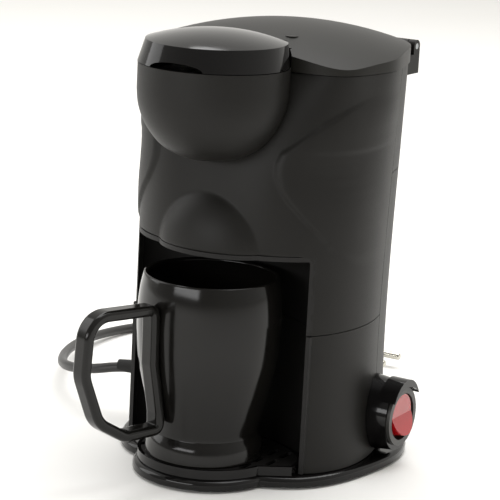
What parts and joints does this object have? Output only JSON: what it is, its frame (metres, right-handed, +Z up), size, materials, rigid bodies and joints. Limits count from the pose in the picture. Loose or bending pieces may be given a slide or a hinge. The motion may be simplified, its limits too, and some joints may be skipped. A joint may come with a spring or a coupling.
{
  "type": "drip coffee maker",
  "caption": "One-cup drip coffee maker with a round filter bowl over a mug niche, hinged domed lid, drip tray, side rocker switch, mug and mains lead.",
  "frame": {"origin": "middle of the surface that the machine stands on, in its plane of symmetry", "axes": "+Z up, -Y towards the mug and the user, +X towards the switch"},
  "size_m": [0.2453, 0.3055, 0.2146],
  "materials": {
    "housing_black": "fine textured",
    "lid_satin": "satin",
    "gloss_black": "polished",
    "inner_black": "plain",
    "mug_black": "polished",
    "rocker_red": "translucent",
    "switch_grey": "satin",
    "tank_plastic": "frosted",
    "mesh_steel": "woven",
    "zinc_steel": "zinc plated",
    "heater_cast": "cast",
    "silicone_white": "satin",
    "rubber_black": "matt",
    "cord_black": "satin",
    "brass_pins": "nickel plated",
    "wire_white": "satin"
  },
  "bodies": {
    "housing": {"base_plate": "gloss_black", "feet": "rubber_black", "lower_housing": "housing_black", "niche_hood": "inner_black", "upper_housing": "housing_black", "rear_cover": "housing_black", "tank_wall": "housing_black", "hinge_pins": "zinc_steel", "water_tank": "tank_plastic", "deck": "inner_black", "brew_funnel": "inner_black", "filter_basket": "inner_black", "filter_mesh": "mesh_steel", "spout_arm": "inner_black", "heater_block": "heater_cast", "water_pipe": "heater_cast", "heating_element": "zinc_steel", "heater_bracket": "zinc_steel", "thermostat": "zinc_steel", "thermal_fuse": "silicone_white", "valve_body": "tank_plastic", "outlet_hose": "silicone_white", "inlet_hose": "silicone_white", "riser_hose": "silicone_white", "hose_clamps": "zinc_steel", "switch_pod": "gloss_black", "switch_body": "switch_grey", "switch_terminals": "brass_pins", "cord_coil": "cord_black", "mains_cord": "cord_black", "cord_tie": "rubber_black", "cord_boot": "rubber_black", "mains_plug": "rubber_black", "plug_pins": "brass_pins", "cord_clamp": "wire_white", "wires": "wire_white", "base_screws": "zinc_steel", "heater_screws": "zinc_steel"},
    "lid": {"tank_lid": "lid_satin", "filter_cap": "gloss_black", "lid_screws": "zinc_steel"},
    "rocker": {"switch_rocker": "rocker_red", "rocker_pin": "zinc_steel"},
    "tray": {"drip_tray": "gloss_black", "drip_grille": "inner_black"},
    "mug": {"mug": "mug_black", "mug_handle": "mug_black"},
    "valve_ball": {"valve_ball": "silicone_white"}
  },
  "joints": [
    {"name": "lid_hinge", "type": "hinge", "parent": "housing", "child": "lid", "pos_m": [0, 0.079, 0.1996], "axis": [-1, 0, 0], "range_deg": [0, 95]},
    {"name": "rocker_pivot", "type": "hinge", "parent": "housing", "child": "rocker", "pos_m": [0.067, 0.026, 0.0255], "axis": [0, 1, 0], "range_deg": [0, 22]},
    {"name": "tray_slide", "type": "slide", "parent": "housing", "child": "tray", "axis": [0, -1, 0], "range_m": [0, 0.08]},
    {"name": "mug_slide", "type": "slide", "parent": "tray", "child": "mug", "axis": [0, -1, 0], "range_m": [0, 0.09]},
    {"name": "valve_ball_lift", "type": "slide", "parent": "housing", "child": "valve_ball", "axis": [0, 0, 1], "range_m": [0, 0.002]}
  ]
}
